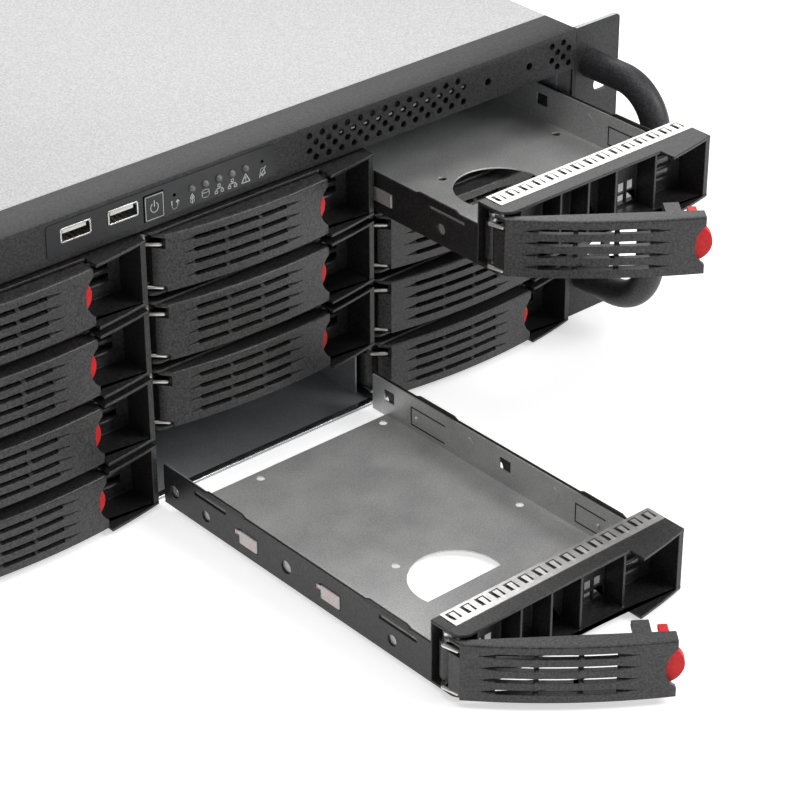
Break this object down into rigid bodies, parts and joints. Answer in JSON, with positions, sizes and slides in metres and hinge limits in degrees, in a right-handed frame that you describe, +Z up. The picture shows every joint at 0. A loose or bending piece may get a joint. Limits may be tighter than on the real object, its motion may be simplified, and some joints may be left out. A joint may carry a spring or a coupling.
{
  "type": "rackmount server chassis",
  "caption": "Rackmount server chassis with a grid of hot-swap drive carriers, a control strip, rack ears with bow handles, fans and a power supply.",
  "frame": {"origin": "middle of the case width, at the rear face of the rack ears, on the underside of the case", "axes": "+X to the right seen from the front, +Y into the rack, +Z up"},
  "size_m": [0.4826, 0.8689, 0.132],
  "materials": {
    "galvanised_sheet": "galvanised sheet, satin",
    "black_paint": "fine textured powder coat",
    "handle_paint": "satin powder coat",
    "cover_paint": "light grey powder coat",
    "overlay_film": "printed film",
    "connector_steel": "plated",
    "light_pipe": "clear moulding",
    "circuit_board": "solder mask",
    "fan_plastic": "moulded",
    "bright_steel": "bright spring steel",
    "screw_black": "black oxide",
    "button_plastic": "moulded",
    "carrier_plastic": "fine spark-eroded texture",
    "lever_plastic": "fine spark-eroded texture",
    "latch_red": "moulded"
  },
  "bodies": {
    "chassis": {"chassis_tub": "galvanised_sheet", "front_fascia": "black_paint", "control_overlay": "overlay_film", "usb_ports": "connector_steel", "indicator_lights": "light_pipe", "control_board": "circuit_board", "rack_ears": "black_paint", "ear_handles": "handle_paint", "drive_cage": "galvanised_sheet", "backplane": "circuit_board", "fan_wall": "galvanised_sheet", "fan_frames": "fan_plastic", "power_supply": "galvanised_sheet", "slot_covers": "bright_steel", "screws": "screw_black"},
    "cover": {"top_cover": "cover_paint"},
    "power_button": {"power_button": "button_plastic"},
    "fan_rotor_1": {"fan_rotor_1": "fan_plastic"},
    "fan_rotor_2": {"fan_rotor_2": "fan_plastic"},
    "fan_rotor_3": {"fan_rotor_3": "fan_plastic"},
    "carrier_a1": {"carrier_a1": "carrier_plastic"},
    "lever_a1": {"lever_a1": "lever_plastic"},
    "carrier_a2": {"carrier_a2": "carrier_plastic"},
    "lever_a2": {"lever_a2": "lever_plastic"},
    "carrier_a3": {"carrier_a3": "carrier_plastic"},
    "lever_a3": {"lever_a3": "lever_plastic"},
    "carrier_a4": {"carrier_a4": "carrier_plastic"},
    "lever_a4": {"lever_a4": "lever_plastic"},
    "carrier_b1": {"carrier_b1": "carrier_plastic"},
    "lever_b1": {"lever_b1": "lever_plastic"},
    "carrier_b2": {"carrier_b2": "carrier_plastic"},
    "lever_b2": {"lever_b2": "lever_plastic"},
    "carrier_b3": {"carrier_b3": "carrier_plastic"},
    "lever_b3": {"lever_b3": "lever_plastic"},
    "carrier_b4": {"carrier_b4": "carrier_plastic"},
    "lever_b4": {"lever_b4": "lever_plastic"},
    "carrier_c1": {"carrier_c1": "carrier_plastic"},
    "lever_c1": {"lever_c1": "lever_plastic"},
    "carrier_c2": {"carrier_c2": "carrier_plastic"},
    "lever_c2": {"lever_c2": "lever_plastic"},
    "carrier_c3": {"carrier_c3": "carrier_plastic"},
    "lever_c3": {"lever_c3": "lever_plastic"},
    "carrier_c4": {"pan_c4": "galvanised_sheet", "frame_c4": "carrier_plastic", "emi_strip_c4": "bright_steel"},
    "lever_c4": {"lever_c4": "lever_plastic", "hinge_pin_c4": "bright_steel"},
    "release_latch_c4": {"release_latch_c4": "latch_red"},
    "carrier_d1": {"pan_d1": "galvanised_sheet", "frame_d1": "carrier_plastic", "emi_strip_d1": "bright_steel"},
    "lever_d1": {"lever_d1": "lever_plastic", "hinge_pin_d1": "bright_steel"},
    "release_latch_d1": {"release_latch_d1": "latch_red"},
    "carrier_d2": {"carrier_d2": "carrier_plastic"},
    "lever_d2": {"lever_d2": "lever_plastic"},
    "carrier_d3": {"carrier_d3": "carrier_plastic"},
    "lever_d3": {"lever_d3": "lever_plastic"},
    "carrier_d4": {"carrier_d4": "carrier_plastic"},
    "lever_d4": {"lever_d4": "lever_plastic"}
  },
  "joints": [
    {"name": "cover_lift", "type": "slide", "parent": "chassis", "child": "cover", "axis": [0, 0, 1], "range_m": [0, 0.15]},
    {"name": "power_button_press", "type": "slide", "parent": "chassis", "child": "power_button", "axis": [0, 1, 0], "range_m": [0, 0.0015], "stiffness_N_per_m": 600},
    {"name": "fan_1_spin", "type": "hinge", "parent": "chassis", "child": "fan_rotor_1", "pos_m": [-0.13, 0.225, 0.065], "axis": [0, 1, 0], "continuous": true},
    {"name": "fan_2_spin", "type": "hinge", "parent": "chassis", "child": "fan_rotor_2", "pos_m": [0, 0.225, 0.065], "axis": [0, 1, 0], "continuous": true},
    {"name": "fan_3_spin", "type": "hinge", "parent": "chassis", "child": "fan_rotor_3", "pos_m": [0.13, 0.225, 0.065], "axis": [0, 1, 0], "continuous": true},
    {"name": "carrier_a1_slide", "type": "slide", "parent": "chassis", "child": "carrier_a1", "axis": [0, -1, 0], "range_m": [0, 0.17]},
    {"name": "lever_a1_swing", "type": "hinge", "parent": "carrier_a1", "child": "lever_a1", "pos_m": [-0.2086, 0.0064, 0.09885], "axis": [0, 0, -1], "range_deg": [0, 37]},
    {"name": "carrier_a2_slide", "type": "slide", "parent": "chassis", "child": "carrier_a2", "axis": [0, -1, 0], "range_m": [0, 0.17]},
    {"name": "lever_a2_swing", "type": "hinge", "parent": "carrier_a2", "child": "lever_a2", "pos_m": [-0.2086, 0.0064, 0.07015], "axis": [0, 0, -1], "range_deg": [0, 37]},
    {"name": "carrier_a3_slide", "type": "slide", "parent": "chassis", "child": "carrier_a3", "axis": [0, -1, 0], "range_m": [0, 0.17]},
    {"name": "lever_a3_swing", "type": "hinge", "parent": "carrier_a3", "child": "lever_a3", "pos_m": [-0.2086, 0.0064, 0.04145], "axis": [0, 0, -1], "range_deg": [0, 37]},
    {"name": "carrier_a4_slide", "type": "slide", "parent": "chassis", "child": "carrier_a4", "axis": [0, -1, 0], "range_m": [0, 0.17]},
    {"name": "lever_a4_swing", "type": "hinge", "parent": "carrier_a4", "child": "lever_a4", "pos_m": [-0.2086, 0.0064, 0.01275], "axis": [0, 0, -1], "range_deg": [0, 37]},
    {"name": "carrier_b1_slide", "type": "slide", "parent": "chassis", "child": "carrier_b1", "axis": [0, -1, 0], "range_m": [0, 0.17]},
    {"name": "lever_b1_swing", "type": "hinge", "parent": "carrier_b1", "child": "lever_b1", "pos_m": [-0.1011, 0.0064, 0.09885], "axis": [0, 0, -1], "range_deg": [0, 37]},
    {"name": "carrier_b2_slide", "type": "slide", "parent": "chassis", "child": "carrier_b2", "axis": [0, -1, 0], "range_m": [0, 0.17]},
    {"name": "lever_b2_swing", "type": "hinge", "parent": "carrier_b2", "child": "lever_b2", "pos_m": [-0.1011, 0.0064, 0.07015], "axis": [0, 0, -1], "range_deg": [0, 37]},
    {"name": "carrier_b3_slide", "type": "slide", "parent": "chassis", "child": "carrier_b3", "axis": [0, -1, 0], "range_m": [0, 0.17]},
    {"name": "lever_b3_swing", "type": "hinge", "parent": "carrier_b3", "child": "lever_b3", "pos_m": [-0.1011, 0.0064, 0.04145], "axis": [0, 0, -1], "range_deg": [0, 37]},
    {"name": "carrier_b4_slide", "type": "slide", "parent": "chassis", "child": "carrier_b4", "axis": [0, -1, 0], "range_m": [0, 0.17]},
    {"name": "lever_b4_swing", "type": "hinge", "parent": "carrier_b4", "child": "lever_b4", "pos_m": [-0.1011, 0.0064, 0.01275], "axis": [0, 0, -1], "range_deg": [0, 37]},
    {"name": "carrier_c1_slide", "type": "slide", "parent": "chassis", "child": "carrier_c1", "axis": [0, -1, 0], "range_m": [0, 0.17]},
    {"name": "lever_c1_swing", "type": "hinge", "parent": "carrier_c1", "child": "lever_c1", "pos_m": [0.0064, 0.0064, 0.09885], "axis": [0, 0, -1], "range_deg": [0, 37]},
    {"name": "carrier_c2_slide", "type": "slide", "parent": "chassis", "child": "carrier_c2", "axis": [0, -1, 0], "range_m": [0, 0.17]},
    {"name": "lever_c2_swing", "type": "hinge", "parent": "carrier_c2", "child": "lever_c2", "pos_m": [0.0064, 0.0064, 0.07015], "axis": [0, 0, -1], "range_deg": [0, 37]},
    {"name": "carrier_c3_slide", "type": "slide", "parent": "chassis", "child": "carrier_c3", "axis": [0, -1, 0], "range_m": [0, 0.17]},
    {"name": "lever_c3_swing", "type": "hinge", "parent": "carrier_c3", "child": "lever_c3", "pos_m": [0.0064, 0.0064, 0.04145], "axis": [0, 0, -1], "range_deg": [0, 37]},
    {"name": "carrier_c4_slide", "type": "slide", "parent": "chassis", "child": "carrier_c4", "axis": [0, -1, 0], "range_m": [-0.1685, 0.005]},
    {"name": "lever_c4_swing", "type": "hinge", "parent": "carrier_c4", "child": "lever_c4", "pos_m": [0.0064, -0.1621, 0.01275], "axis": [0, 0, -1], "range_deg": [-37, 0], "stiffness_Nm_per_rad": 0.04},
    {"name": "release_latch_c4_press", "type": "slide", "parent": "lever_c4", "child": "release_latch_c4", "axis": [-0.7986, 0.6018, 0], "range_m": [0, 0.0025], "stiffness_N_per_m": 500},
    {"name": "carrier_d1_slide", "type": "slide", "parent": "chassis", "child": "carrier_d1", "axis": [0, -1, 0], "range_m": [-0.0732, 0.0968]},
    {"name": "lever_d1_swing", "type": "hinge", "parent": "carrier_d1", "child": "lever_d1", "pos_m": [0.1139, -0.0668, 0.09885], "axis": [0, 0, -1], "range_deg": [-37, 0], "stiffness_Nm_per_rad": 0.04},
    {"name": "release_latch_d1_press", "type": "slide", "parent": "lever_d1", "child": "release_latch_d1", "axis": [-0.7986, 0.6018, 0], "range_m": [0, 0.0025], "stiffness_N_per_m": 500},
    {"name": "carrier_d2_slide", "type": "slide", "parent": "chassis", "child": "carrier_d2", "axis": [0, -1, 0], "range_m": [0, 0.17]},
    {"name": "lever_d2_swing", "type": "hinge", "parent": "carrier_d2", "child": "lever_d2", "pos_m": [0.1139, 0.0064, 0.07015], "axis": [0, 0, -1], "range_deg": [0, 37]},
    {"name": "carrier_d3_slide", "type": "slide", "parent": "chassis", "child": "carrier_d3", "axis": [0, -1, 0], "range_m": [0, 0.17]},
    {"name": "lever_d3_swing", "type": "hinge", "parent": "carrier_d3", "child": "lever_d3", "pos_m": [0.1139, 0.0064, 0.04145], "axis": [0, 0, -1], "range_deg": [0, 37]},
    {"name": "carrier_d4_slide", "type": "slide", "parent": "chassis", "child": "carrier_d4", "axis": [0, -1, 0], "range_m": [0, 0.17]},
    {"name": "lever_d4_swing", "type": "hinge", "parent": "carrier_d4", "child": "lever_d4", "pos_m": [0.1139, 0.0064, 0.01275], "axis": [0, 0, -1], "range_deg": [0, 37]}
  ]
}
